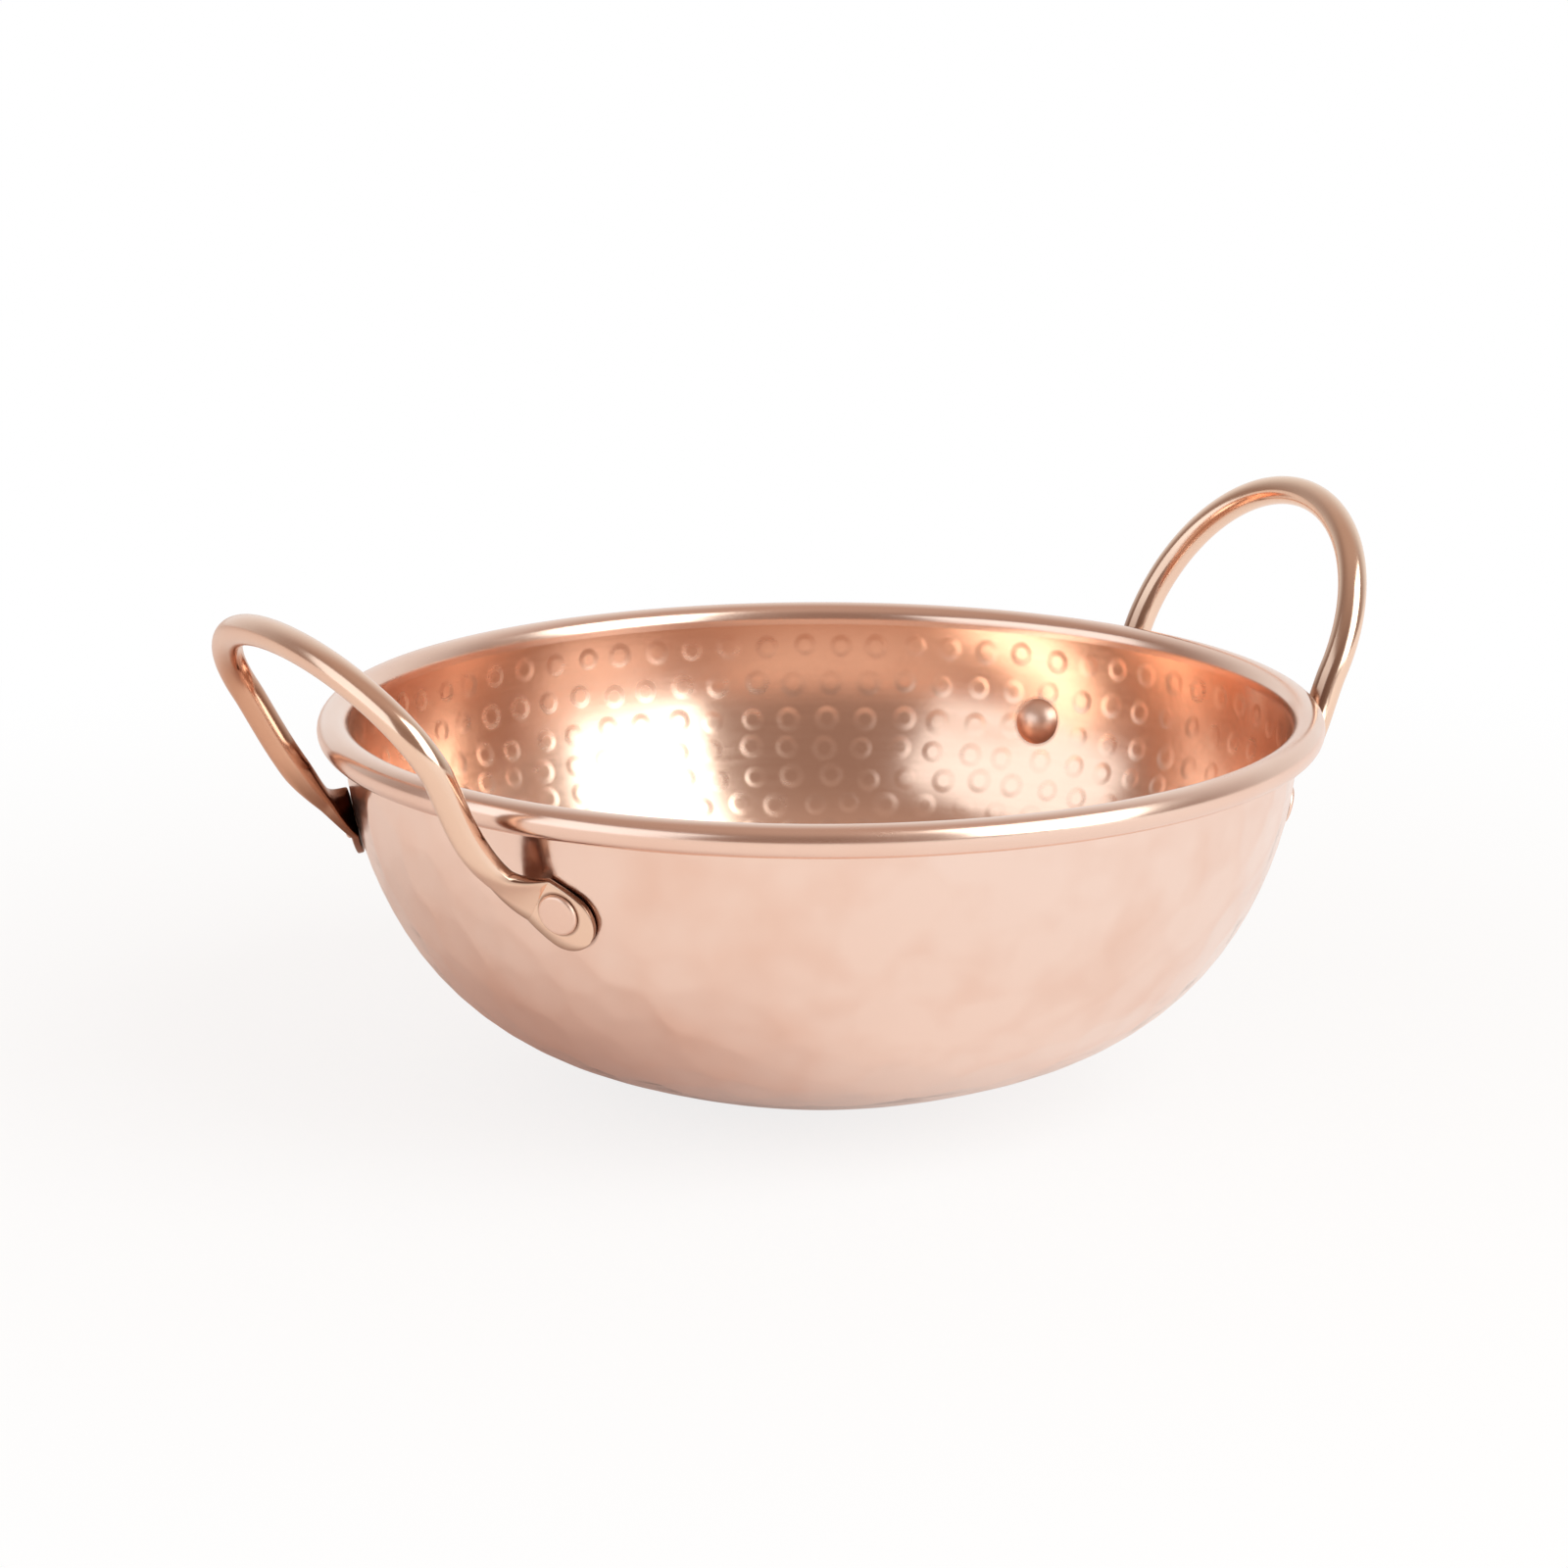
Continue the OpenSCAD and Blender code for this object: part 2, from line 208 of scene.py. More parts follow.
class StageSizes(PropertyGroup):
    """Places of the camera and the lamps. Turns are seen from above, from the camera's side"""
    camera_turn: angle("Camera turn", "Turn of the camera round the pot", -32.4)
    camera_rise: angle("Camera rise", "Rise of the camera above level", 15.25)
    camera_away: length("Camera distance", "Distance from the camera to its aim", 999)
    camera_aim: length("Camera aim", "Height at which the camera aims", 38)
    lamp_aim: length("Lamp aim", "Height at which the lamps aim", 40)
    lamp_away: length("Lamp distance", "Distance from the lamps to the camera's aim", 1500)
    lens: share("Lens", "Focal length in millimetres", 114.06)
    shift_x: share("Shift across", "Shift of the frame across", -0.02365)
    shift_y: share("Shift up", "Shift of the frame upwards", 0.0688)
    key_turn: angle("Key turn", "Turn of the large lamp", 57)
    key_rise: angle("Key rise", "Rise of the large lamp", 32)
    key_roll: angle("Key roll", "Turn of the large lamp about its own axis", -16)
    key_w: length("Key width", "Width of the large lamp", 1050)
    key_h: length("Key height", "Height of the large lamp", 1600)
    key_power: share("Key power", "Power of the large lamp in watts", 16.4)
    fill_turn: angle("Fill turn", "Turn of the lamp at the left", -60)
    fill_rise: angle("Fill rise", "Rise of the lamp at the left", 20)
    fill_w: length("Fill width", "Width of the lamp at the left", 1730)
    fill_h: length("Fill height", "Height of the lamp at the left", 1100)
    fill_power: share("Fill power", "Power of the lamp at the left in watts", 7.4)
    floor_size: length("Floor", "Side of the floor", 12000)
    sensor_w: share("Sensor", "Width of the camera's sensor in millimetres", 36)


class Form:
    """The pot's main lines, worked out from its sizes."""

    def __init__(self, bowl, handle):
        self.bowl, self.handle = bowl, handle
        self.bead_in_r = bowl.wire_d / 2 + bowl.wire_gap
        self.bead_r = self.bead_in_r + bowl.sheet_t
        self.bead_c = np.array([bowl.rim_d / 2 - self.bead_r, bowl.pot_h - self.bead_r])
        self.roll_end = -math.acos((bowl.roll_slit - self.bead_in_r) / self.bead_r)
        # The floor's and the wall's radii follow, so that the four arcs join smoothly
        base_r, bend_r = bowl.base_d / 2, bowl.base_bend_r
        wall_top = self.bead_c - [self.bead_in_r, 0]
        knuckle = self.toward(bowl.knuckle_end) - self.toward(bowl.knuckle_start)
        left_over = (wall_top - [base_r, bend_r] - bend_r * self.toward(bowl.floor_slope)
                     - bowl.knuckle_r * knuckle)
        parts = np.array([self.toward(bowl.knuckle_start) - self.toward(bowl.floor_slope),
                          self.toward(math.pi / 2) - self.toward(bowl.knuckle_end)]).T
        floor_r, self.wall_r = map(float, np.linalg.solve(parts, left_over))
        base_c = np.array([base_r, bend_r])
        floor_c = base_c + (bend_r - floor_r) * self.toward(bowl.floor_slope)
        knuckle_c = floor_c + (floor_r - bowl.knuckle_r) * self.toward(bowl.knuckle_start)
        self.wall_c = knuckle_c + (bowl.knuckle_r - self.wall_r) * self.toward(bowl.knuckle_end)
        self.arcs = [(base_c, bend_r, 0, bowl.floor_slope),
                     (floor_c, floor_r, bowl.floor_slope, bowl.knuckle_start),
                     (knuckle_c, bowl.knuckle_r, bowl.knuckle_start, bowl.knuckle_end),
                     (self.wall_c, self.wall_r, bowl.knuckle_end, math.pi / 2)]

    @staticmethod
    def toward(slope):
        """Direction from an arc's centre to its point of that slope."""
        return np.array([math.sin(slope), -math.cos(slope)])

    def face(self, depth, step, wall_step=None):
        """Points (radius, height) of the sheet's face at that depth, from the axis to the rim.
        The wall, past the floor's arc, can have steps of its own."""
        points = []
        flat = self.bowl.base_d / 2
        for i in range(round(flat / step)):
            points.append(np.array([flat * i / round(flat / step), depth]))
        for centre, r, start, end in self.arcs:
            fine = wall_step if wall_step and start >= self.bowl.knuckle_start else step
            n = max(2, math.ceil(abs(end - start) * (r - depth) / fine))
            for i in range(n):
                points.append(centre + (r - depth) * self.toward(start + (end - start) * i / n))
        return points

    def roll(self, r, n):
        """Points round the wire, from the wall over the top to the rolled edge."""
        turns = np.linspace(math.pi, self.roll_end, n + 1)
        return [self.bead_c + r * np.array([math.cos(a), math.sin(a)]) for a in turns]


class Seat:
    """Where a handle's rivets and tabs sit on the wall."""

    def __init__(self, form, loop):
        h = form.handle
        self.form, self.h = form, h
        self.z = form.bowl.pot_h - loop.rivet_drop
        self.lean = math.asin((float(form.wall_c[1]) - self.z) / form.wall_r)
        self.r = float(form.wall_c[0]) + form.wall_r * math.cos(self.lean)
        self.az = math.asin(h.rivet_spacing / 2 / self.r)

        # Directions at the rivet: off the wall, level, up the wall, along the tab and across it
        across_az, along_az = math.cos(self.az), math.sin(self.az)
        flat, rise = math.cos(self.lean), math.sin(self.lean)
        self.rivet = Vector((self.r * across_az, self.r * along_az, self.z))
        self.out = Vector((flat * across_az, flat * along_az, -rise))
        level = Vector((along_az, -across_az, 0))
        up = Vector((rise * across_az, rise * along_az, flat))
        c, s = math.cos(h.tab_climb), math.sin(h.tab_climb)
        self.along = c * level + s * up
        self.across = c * up - s * level
        self.curve_r = 1 / (c * c * flat / self.r + s * s / form.wall_r)
        self.centre = self.rivet - h.tab_offset * self.across - self.curve_r * self.out
        self.tab_from = h.tab_w / 2 - h.tab_reach

    def place(self, side, turn):
        """The frame of the rivet at that side of the handle: Z along the rivet and outward."""
        return (Matrix.Rotation(turn + side * self.az, 4, "Z")
                @ Matrix.Translation((self.r, 0, self.z))
                @ Matrix.Rotation(math.pi / 2 + self.lean, 4, "Y"))

    def outward(self, s):
        """Direction off the wall, s along the tab from the rivet."""
        a = s / self.curve_r
        return math.cos(a) * self.out + math.sin(a) * self.along

    def ahead(self, s):
        """Direction along the tab at s."""
        a = s / self.curve_r
        return math.cos(a) * self.along - math.sin(a) * self.out

    def point(self, s):
        """The tab's middle line, s along it from the rivet."""
        return self.centre + (self.curve_r + self.h.seat_gap + self.h.tab_t / 2) * self.outward(s)

    def width(self, s):
        """Width of the bar at s along it."""
        u = min(1, max(0, (s - self.tab_from) / self.h.tab_fan))
        return self.h.tab_w + (self.h.rod_d - self.h.tab_w) * u * u


def start_piece(name, add, **place):
    """Runs one of the add operators with nothing else selected."""
    bpy.ops.object.select_all(action="DESELECT")
    add(**place)
    piece = bpy.context.object
    piece.name = piece.data.name = name
    return piece


def only(piece):
    """Selects the piece alone and makes it active."""
    bpy.ops.object.select_all(action="DESELECT")
    piece.select_set(True)
    bpy.context.view_layer.objects.active = piece


def spun(name, line, steps):
    """A piece turned round the Z axis from a line of (radius, height) points."""
    piece = start_piece(name, bpy.ops.mesh.primitive_plane_add, size=MM,
                        location=(line[0][0], 0, line[0][1]))
    bpy.ops.object.mode_set(mode="EDIT")
    bpy.ops.mesh.select_mode(type="VERT")
    bpy.ops.mesh.select_all(action="SELECT")
    bpy.ops.mesh.merge(type="CENTER")
    for before, after in zip(line, line[1:]):
        step = (after[0] - before[0], 0, after[1] - before[1])
        bpy.ops.mesh.extrude_vertices_move(TRANSFORM_OT_translate={"value": step})
    bpy.ops.mesh.select_all(action="SELECT")
    bpy.ops.mesh.spin(steps=steps, angle=2 * math.pi, center=(0, 0, 0), axis=(0, 0, 1))
    bpy.ops.mesh.select_all(action="SELECT")
    bpy.ops.mesh.remove_doubles(threshold=MERGE)
    bpy.ops.mesh.normals_make_consistent(inside=False)
    bpy.ops.object.mode_set(mode="OBJECT")
    bpy.ops.object.transform_apply(location=True, rotation=True, scale=True)
    return piece


def coords(piece):
    """The piece's points as an array."""
    flat = np.empty(len(piece.data.vertices) * 3)
    piece.data.vertices.foreach_get("co", flat)
    return flat.reshape(-1, 3)


def eased(t):
    """A smooth step from 0 at 0 to 1 at 1."""
    u = min(1, max(0, t))
    return u * u * (3 - 2 * u)


def tree_of(places):
    """A tree that finds the nearest of the places."""
    tree = kdtree.KDTree(len(places))
    for i, place in enumerate(places):
        tree.insert(place, i)
    tree.balance()
    return tree


def corner_points(piece):
    """The number of the point that each corner of a face is at."""
    corners = np.empty(len(piece.data.loops), int)
    piece.data.loops.foreach_get("vertex_index", corners)
    return corners


def smooth(piece, crease):
    """Shades the piece smooth, except at edges that bend more than the crease."""
    only(piece)
    bpy.ops.object.shade_smooth_by_angle(angle=crease)


def press(piece, marks, depth, chosen, flat):
    """Presses marks into the chosen points of a piece. A mark is (place, radius, share of depth),
    and is flat over that share of its radius."""
    tree = tree_of([mark[0] for mark in marks])
    group = piece.vertex_groups.new(name="marks")
    points = coords(piece)
    for i in chosen:
        place = Vector(points[i])
        _, k, d = tree.find(place)
        q = d / marks[k][1]
        if q < 1:
            group.add([int(i)], marks[k][2] * (1 - eased((q - flat) / (1 - flat))), "REPLACE")
    only(piece)
    push = piece.modifiers.new("marks", "DISPLACE")
    push.vertex_group = group.name
    push.mid_level = 0
    push.strength = -depth
    bpy.ops.object.modifier_apply(modifier=push.name)
    piece.vertex_groups.clear()


def dent_rows(line, first, hammer):
    """Staggered rows of dents on a turned face, from the rim down to the middle."""
    rng = np.random.default_rng(HAMMERING)
    line = np.array(line)
    run = np.concatenate([[0], np.cumsum(np.linalg.norm(np.diff(line, axis=0), axis=1))])
    wander, radius = hammer.dent_wander, hammer.dent_r
    upper = [first + hammer.upper_step * i for i in range(hammer.upper_rows)]
    lower = np.arange(upper[-1] + hammer.row_step, run[-1], hammer.row_step)
    marks = []
    for s in (*upper, *lower):
        r = np.interp(s, run, line[:, 0])
        places = max(1, round(2 * math.pi * r / hammer.dent_step))
        turn = rng.uniform(0, 2 * math.pi)
        for k in range(places):
            stray = rng.normal(0, wander / 2, 2)
            at = s + stray[1]
            a = turn + 2 * math.pi * k / places + stray[0] / max(r, hammer.dent_step)
            rr, z = np.interp(at, run, line[:, 0]), np.interp(at, run, line[:, 1])
            marks.append((Vector((rr * math.cos(a), rr * math.sin(a), z)),
                          radius * rng.uniform(hammer.smallest, hammer.largest),
                          rng.uniform(hammer.lightest, 1)))
    return marks


def note_marks(piece, marks, chosen, name):
    """Gives each chosen face's corners their place within the nearest mark, in its radii."""
    tree = tree_of([mark[0] for mark in marks])
    centre = np.array([mark[0] for mark in marks])
    radius = np.array([mark[1] for mark in marks])
    points, corners = coords(piece), corner_points(piece)
    past_its_ring = 2.0
    within = np.full((len(corners), 3), past_its_ring)
    for i in np.nonzero(chosen)[0]:
        face = piece.data.polygons[int(i)]
        _, k, _ = tree.find(face.center)
        own = slice(face.loop_start, face.loop_start + face.loop_total)
        within[own] = (points[corners[own]] - centre[k]) / radius[k]
    attribute = piece.data.attributes.new(name, "FLOAT_VECTOR", "CORNER")
    attribute.data.foreach_set("vector", within.ravel())


class Value:
    """A socket's output, so that shader maths reads as an expression."""

    def __init__(self, graph, socket):
        self.graph, self.socket = graph, socket

    def math(self, operation, *others):
        """What a Math node makes of this value and the others."""
        node = self.graph.node("ShaderNodeMath", {"operation": operation},
                               dict(enumerate((self, *others))))
        return Value(self.graph, node.outputs[0])

    def __add__(self, other): return self.math("ADD", other)
    def __radd__(self, other): return self.math("ADD", other)
    def __sub__(self, other): return self.math("SUBTRACT", other)
    def __rsub__(self, other): return self.graph.number(other).math("SUBTRACT", self)
    def __mul__(self, other): return self.math("MULTIPLY", other)
    def __rmul__(self, other): return self.math("MULTIPLY", other)
    def __truediv__(self, other): return self.math("DIVIDE", other)

    def within(self, low, high):
        """0 at low, 1 at high, smooth between them and held outside."""
        node = self.graph.node("ShaderNodeMapRange", {"interpolation_type": "SMOOTHSTEP"},
                               {"Value": self, "From Min": low, "From Max": high})
        return Value(self.graph, node.outputs[0])


class Graph:
    """A node tree that is being filled."""

    def __init__(self, tree):
        self.tree = tree
        tree.nodes.clear()

    def node(self, kind, settings=None, inputs=None):
        """Adds a node: its settings first, then the values or links of its sockets."""
        made = self.tree.nodes.new(kind)
        for key, value in (settings or {}).items():
            setattr(made, key, value)
        for key, value in (inputs or {}).items():
            if isinstance(value, Value):
                value = value.socket
            if isinstance(value, bpy.types.NodeSocket):
                self.tree.links.new(value, made.inputs[key])
            else:
                made.inputs[key].default_value = value
        return made

    def number(self, value):
        """A constant as a value."""
        node = self.node("ShaderNodeValue")
        node.outputs[0].default_value = value
        return Value(self, node.outputs[0])

    def noise(self, vector, scale, detail=2.0, roughness=0.5):
        """A noise between 0 and 1."""
        node = self.node("ShaderNodeTexNoise", None,
                         {"Vector": vector, "Scale": scale, "Detail": detail,
                          "Roughness": roughness})
        return Value(self, node.outputs[0])

    def mix(self, factor, a, b):
        """A colour between a and b."""
        node = self.node("ShaderNodeMix", {"data_type": "RGBA"}, {0: factor, 6: a, 7: b})
        return node.outputs[2]

    def ray(self, kind):
        """1 where the ray is of that kind, else 0."""
        return Value(self, self.node("ShaderNodeLightPath").outputs[f"Is {kind} Ray"])

    def place(self):
        """The shaded place on the piece."""
        return self.node("ShaderNodeTexCoord").outputs["Object"]

    def own(self, name):
        """A value or vector that the piece's mesh carries."""
        return self.node("ShaderNodeAttribute", {"attribute_name": name}).outputs

    def vector(self, x, y, z):
        """A vector of three values."""
        return self.node("ShaderNodeCombineXYZ", None, {0: x, 1: y, 2: z}).outputs[0]

    def long(self, vector):
        """A vector's length."""
        return Value(self, self.node("ShaderNodeVectorMath", {"operation": "LENGTH"},
                                     {0: vector}).outputs["Value"])

    def axes(self, vector):
        """A vector's three values."""
        node = self.node("ShaderNodeSeparateXYZ", None, {0: vector})
        return [Value(self, s) for s in node.outputs]


def new_material(name):
    """A new material and its graph."""
    material = bpy.data.materials.new(name)
    material.use_nodes = True
    return material, Graph(material.node_tree)


def opaque(colour_value):
    """A colour with full alpha."""
    return (*colour_value, 1.0)


class Metals:
    """Makes the pot's materials. Its noise scales are cycles per metre, unless the name says
    otherwise, and its heights are in metres. A pair is where a mask starts and ends."""
    CLOUDS, MOTTLE, FINE, POLISH, EVEN, DRAWN_WIRE = 28, 85, 900, 900, 420, 700
    CLOUD_EDGE, MOTTLE_EDGE, WIRE_EDGE = (0.35, 0.68), (0.38, 0.66), (0.3, 0.7)
    POLISH_PER_TURN = 9
    DRAWN_ACROSS_SECTION, DRAWN_ALONG = 2.2, 30
    GRAIN = {"detail": 3, "roughness": 0.6}
    FINE_HEIGHT, WIRE_HEIGHT = 0.0015 * MM, 0.02 * MM
    GRAIN_DULL, CLOUD_DULL = 0.1, 0.05
    CLEAN_CLOUD, CLEAN_FACET, CLEAN_MOTTLE = 0.3, 0.4, 0.45
    FACET_TONE, MOTTLE_TONE = 0.5, 0.22
    DENT_LINE, DENT_LINE_FADE = (0.7, 1.4), (0.8, 1.1)
    # Painted shade along each dent's ring, and how much duller the ring is
    DENT_TONE, DENT_DULL = 0.12, 0.07
    WIRE_ROUGH, WIRE_DULL, WIRE_SHADE = 0.35, 0.2, 0.6

    def __init__(self, finish, hammer):
        self.finish, self.hammer = finish, hammer

    def surface(self, graph, base, roughness, height):
        """A metal surface with its relief in metres, ending the graph."""
        raised = graph.node("ShaderNodeBump", None,
                            {"Height": height, "Distance": 1.0, "Strength": 1.0})
        metal = graph.node("ShaderNodeBsdfPrincipled", None,
                           {"Base Color": base, "Roughness": roughness, "Metallic": 1.0,
                            "Normal": raised.outputs[0]})
        graph.node("ShaderNodeOutputMaterial", None, {"Surface": metal.outputs[0]})

    def turned_grain(self, graph, place, x, y, z):
        """Polishing marks along the turn."""
        turn, radius = y.math("ARCTAN2", x), (x * x + y * y).math("SQRT")
        lines = graph.vector(turn * self.POLISH_PER_TURN, radius * self.POLISH, z * self.POLISH)
        return graph.noise(lines, 1, **self.GRAIN)

    def even_grain(self, graph, place, x, y, z):
        """Polishing marks in all directions."""
        return graph.noise(place, self.EVEN, **self.GRAIN)

    def drawn_grain(self, graph, place, x, y, z):
        """Long marks along a bar."""
        across, through, along = graph.axes(graph.own("bar")["Vector"])
        section = self.DRAWN_ACROSS_SECTION
        lines = graph.vector(across * section, through * section, along * self.DRAWN_ALONG)
        return graph.noise(lines, 1, **self.GRAIN)

    def facets(self, graph, place):
        """The flat marks of the planishing hammer: their relief, and how warm and how much
        duller they are."""
        hammer = self.hammer
        cells = graph.node("ShaderNodeTexVoronoi", {"feature": "SMOOTH_F1"},
                           {"Vector": place, "Scale": 1 / hammer.facet_step,
                            "Smoothness": hammer.facet_soft,
                            "Randomness": hammer.facet_wander})
        hollow = Value(graph, cells.outputs["Distance"])
        mottle = graph.noise(place, self.MOTTLE, 2).within(*self.MOTTLE_EDGE)
        warmer = ((hollow - self.CLEAN_FACET) * self.FACET_TONE
                  + (mottle - self.CLEAN_MOTTLE) * self.MOTTLE_TONE)
        return hollow * hollow * (hammer.facet_depth * 2), warmer, 0

    def dents(self, graph, place):
        """The rings round the dents: their relief, the painted shade along each ring, and how much
        duller they are. The blows left the sheet a little steeper than its turned line."""
        hammer = self.hammer
        _, _, z = graph.axes(place)
        out = graph.long(graph.own("dent")["Vector"])
        ring = out.within(hammer.dent_flat, 1)
        start, end = (hammer.dent_flat * part for part in self.DENT_LINE)
        line = out.within(start, end) * (1 - out.within(*self.DENT_LINE_FADE))
        return (ring * hammer.dent_ring + z * hammer.steeper, line * self.DENT_TONE,
                line * self.DENT_DULL)

    def copper(self, name, rough, warmth, polish, grain, tone=None, relief=None, oxide=None,
               fired=None):
        """Worked copper, toned in clouds. Polish is the height of its fine marks."""
        material, graph = new_material(name)
        place = graph.place()
        x, y, z = graph.axes(place)
        clouds = graph.noise(place, self.CLOUDS, 3).within(*self.CLOUD_EDGE)
        marks = grain(graph, place, x, y, z)
        height = marks * polish + graph.noise(place, self.FINE, 2) * self.FINE_HEIGHT
        tinted = (clouds - self.CLEAN_CLOUD) * warmth
        roughness = (rough + (marks - 0.5) * self.GRAIN_DULL
                     + (clouds - 0.5) * self.CLOUD_DULL)
        if relief is not None:
            # The relief adds tone at the facets outside, and painted shade along the dents' rings
            # inside
            raised, warmer, duller = relief(graph, place)
            height, tinted, roughness = height + raised, tinted + warmer, roughness + duller
        base = graph.mix(tinted.math("MAXIMUM", 0).math("MINIMUM", 1),
                         opaque(tone or self.finish.copper), opaque(self.finish.warm_copper))
        # A darker, warmer tone on the left handle's back leg
        if fired is not None:
            base = graph.mix(fired(graph, x, y, z), base, opaque(self.finish.fired))
        # Painted shade in the crevices, round the tabs and heads, and on the bars' shaded sides
        if oxide is not None:
            base = graph.mix(oxide(graph, x, y, z), base, opaque(self.finish.brown))
        self.surface(graph, base, roughness, height)
        return material

    def steel(self, name):
        """Drawn wire, which only a cut through the rim would show."""
        material, graph = new_material(name)
        place = graph.place()
        drawn = graph.noise(place, self.DRAWN_WIRE, 3)
        base = graph.mix(drawn.within(*self.WIRE_EDGE), opaque(self.finish.steel),
                         opaque([c * self.WIRE_SHADE for c in self.finish.steel]))
        self.surface(graph, base, self.WIRE_ROUGH + (drawn - 0.5) * self.WIRE_DULL,
                     drawn * self.WIRE_HEIGHT)
        return material


def dress(piece, *materials):
    """Gives a piece its materials."""
    piece.data.materials.clear()
    for material in materials:
        piece.data.materials.append(material)


def setup(context):
    """The scene, the pot's form and its metals."""
    scene = context.scene
    return (scene, Form(scene.pot_bowl, scene.pot_handle),
            Metals(scene.pot_finish, scene.pot_hammer))


class Oxide:
    """Masks of the painted shade where pieces meet and on the handles' shaded sides, and of a
    darker tone on the left handle's back leg. The two tabs of a handle mirror each other, so the
    distances are taken from |x| and |y|, and from the seat on that side. A pair is where a mask
    starts and ends."""
    CREVICE_RISE, CREVICE_EDGE = 0.5 * MM, (0.3 * MM, 1.2 * MM)
    CREVICE_OUT = (0.6 * MM, 2 * MM)
    TAB_LINE, SEAT_FADE = 0.7 * MM, 6 * MM
    HEAD_RING, DOME_RING = (0.1 * MM, 0.7 * MM), (0.05 * MM, 0.95 * MM)
    IN_CREVICE, ROUND_TAB, ON_SIDES, ON_BACK, ON_INNER, ROUND_HEAD, ROUND_DOME = (
        0.8, 0.6, 0.75, 0.85, 0.6, 0.7, 0.45)
    SIDE_EDGE, FLAT_TAB, BACK_EDGE = (0.6, 0.9), (0.25, 0.8), (0, 0.7)
    INNER_EDGE, FACE_EDGE = (0.5, 0.95), (0.5, 0.9)
    INNER_FADE, RIM_FADE, HIGH_FADE = (-14 * MM, -4 * MM), (-10 * MM, 8 * MM), (8 * MM, 25 * MM)
    OVER_RIM, FIRED = 0.25, 0.8
    FIRED_FADE, FIRED_BEHIND = (10 * MM, 26 * MM), (8 * MM, 20 * MM)
    FIRED_LEFT = (-60 * MM, -40 * MM)

    def __init__(self, form, right, left):
        self.form, self.right, self.left = form, right, left

    def seat_value(self, x, name):
        """The seats' vector of that name, the right one's where x is above zero."""
        side = x.math("GREATER_THAN", 0)
        a, b = getattr(self.left, name), getattr(self.right, name)
        return [side * (b[i] - a[i]) + a[i] for i in range(3)]

    def from_rivet(self, x, y, z):
        """The place seen from the rivet of its quarter."""
        rivet = self.seat_value(x, "rivet")
        return [x.math("ABSOLUTE") - rivet[0], y.math("ABSOLUTE") - rivet[1], z - rivet[2]]

    @staticmethod
    def dot(a, b):
        """The scalar product of two lists of values."""
        return a[0] * b[0] + a[1] * b[1] + a[2] * b[2]

    def over_rim(self, z, low, high):
        """0 at the low height over the rim, 1 at the high one, smooth between them."""
        rim = self.form.bowl.pot_h
        return z.within(rim + low, rim + high)

    def off_axis(self, x, y, z):
        """Distance from the rivet's axis."""
        d = self.from_rivet(x, y, z)
        along = self.dot(d, self.seat_value(x, "out"))
        return (self.dot(d, d) - along * along).math("MAXIMUM", 0).math("SQRT")

    def round_head(self, x, y, z, head_d, ring):
        """1 up to the ring's inner edge and 0 past its outer one, both counted from the head's."""
        return 1 - self.off_axis(x, y, z).within(*(head_d / 2 + out for out in ring))

    def off_tab(self, x, y, z):
        """Distance from the tab's outline, and how far along the tab that is."""
        h = self.form.handle
        d = self.from_rivet(x, y, z)
        ahead = self.dot(d, self.seat_value(x, "along")) - self.right.tab_from
        aside = self.dot(d, self.seat_value(x, "across")) + h.tab_offset
        u = (ahead / h.tab_fan).math("MAXIMUM", 0).math("MINIMUM", 1)
        behind = ahead.math("MINIMUM", 0)
        half_w = h.tab_w / 2 - u * u * ((h.tab_w - h.rod_d) / 2)
        return (behind * behind + aside * aside).math("SQRT") - half_w, ahead

    def wall(self, graph, x, y, z):
        """Painted shade in the crevice under the bead, and in a thin line round each tab where it
        lies on the wall.
        """
        form, h = self.form, self.form.handle
        crevice = form.bowl.pot_h - 2 * form.bead_r
        wall = form.bead_c[0] - form.bead_in_r
        radius = (x * x + y * y).math("SQRT")
        near = 1 - (z - (crevice + self.CREVICE_RISE)).math("ABSOLUTE").within(
            *self.CREVICE_EDGE)
        close = 1 - radius.within(*(wall + out for out in self.CREVICE_OUT))
        off, ahead = self.off_tab(x, y, z)
        seated = 1 - ahead.within(h.tab_lift, h.tab_lift + self.SEAT_FADE)
        edge = (1 - off.within(0, self.TAB_LINE)) * seated
        return (near * close * self.IN_CREVICE).math("MAXIMUM", edge * self.ROUND_TAB)

    def bar(self, graph, x, y, z):
        """Painted shade on the tab's narrow sides, on the back of the bar up to the rim, on the
        inner side of the bar below the rim, and round the rivet's flat head."""
        across, through, _ = graph.axes(graph.own("bar")["Vector"])
        flat = Value(graph, graph.own("flat")["Fac"])
        sides = ((1 - through.math("ABSOLUTE").within(*self.SIDE_EDGE))
                 * flat.within(*self.FLAT_TAB))
        fade = (self.ON_BACK
                - self.over_rim(z, *self.RIM_FADE) * (self.ON_BACK - self.OVER_RIM)
                - self.over_rim(z, *self.HIGH_FADE) * self.OVER_RIM)
        back = (through * -1).within(*self.BACK_EDGE) * fade
        inner = ((across * -1).within(*self.INNER_EDGE)
                 * (1 - self.over_rim(z, *self.INNER_FADE)))
        ring = self.round_head(x, y, z, self.form.handle.flat_head_d, self.HEAD_RING)
        face = through.within(*self.FACE_EDGE)
        return (sides * self.ON_SIDES).math("MAXIMUM", back).math(
            "MAXIMUM", inner * self.ON_INNER).math("MAXIMUM", ring * face * self.ROUND_HEAD)

    def fired(self, graph, x, y, z):
        """A darker, warmer tone on the left handle's back leg, up to its bend."""
        low = 1 - self.over_rim(z, *self.FIRED_FADE)
        behind, at_left = y.within(*self.FIRED_BEHIND), 1 - x.within(*self.FIRED_LEFT)
        return low * behind * at_left * self.FIRED

